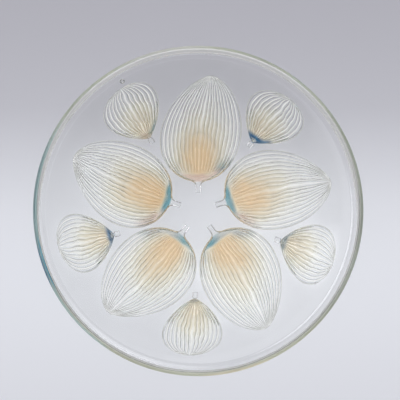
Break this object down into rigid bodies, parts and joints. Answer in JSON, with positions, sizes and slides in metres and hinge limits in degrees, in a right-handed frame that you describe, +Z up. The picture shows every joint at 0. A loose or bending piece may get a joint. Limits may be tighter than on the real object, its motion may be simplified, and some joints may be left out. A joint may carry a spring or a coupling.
{
  "type": "glass plate",
  "caption": "Round pressed-glass plate with a flat well, an upturned wall and a rounded lip, standing on opalescent veined leaves moulded in relief under the well.",
  "frame": {"origin": "on the plate's axis, in the plane that the ground crests of its relief stand on", "axes": "+Z up along the plate's axis, out of the dish; +Y towards the tip of the first large leaf"},
  "size_m": [0.28, 0.28, 0.0239],
  "materials": {
    "clear_glass": "fire-polished clear pressed glass with a faint olive-green cast at its edge",
    "opal_glass": "opalescent pressed glass, amber where it is thick and clearing to colourless at the margins"
  },
  "bodies": {
    "root": {"plate_body": "clear_glass", "large_leaf_1": "opal_glass", "large_leaf_2": "opal_glass", "large_leaf_3": "opal_glass", "large_leaf_4": "opal_glass", "large_leaf_5": "opal_glass", "small_leaf_1": "opal_glass", "small_leaf_2": "opal_glass", "small_leaf_3": "opal_glass", "small_leaf_4": "opal_glass", "small_leaf_5": "opal_glass"}
  },
  "joints": []
}
